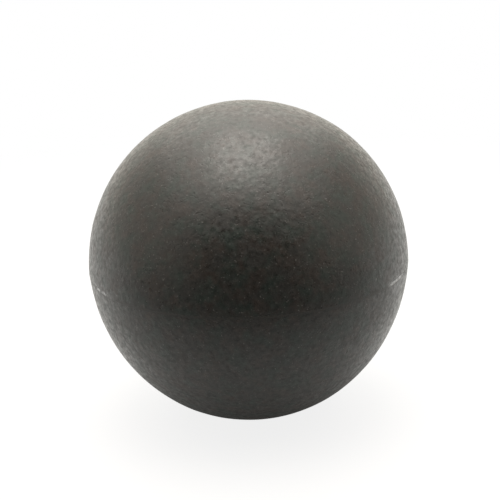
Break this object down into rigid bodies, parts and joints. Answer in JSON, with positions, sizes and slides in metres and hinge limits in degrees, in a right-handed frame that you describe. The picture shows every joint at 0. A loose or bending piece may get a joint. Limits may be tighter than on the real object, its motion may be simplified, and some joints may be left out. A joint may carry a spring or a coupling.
{
  "type": "case opening friction ball",
  "caption": "Hollow black rubber ball pressed and turned by hand on a screwed watch case back to open it, made as two moulded half shells cemented together at the equator.",
  "frame": {"origin": "the ball's centre, in the plane of the joint between the two half shells", "axes": "+Z along the axis the half shells are moulded about, square to the joint, towards the upper half; X and Y are any two directions in the joint's plane, because the ball is round about Z"},
  "size_m": [0.065, 0.065, 0.0654],
  "materials": {
    "shell_rubber": "matte, buffed, with a fine open grain",
    "rubber_cement": "cured smooth, trimmed and buffed flush on the outside"
  },
  "bodies": {
    "root": {"upper_half_shell": "shell_rubber", "lower_half_shell": "shell_rubber", "seam_cement": "rubber_cement"}
  },
  "joints": []
}
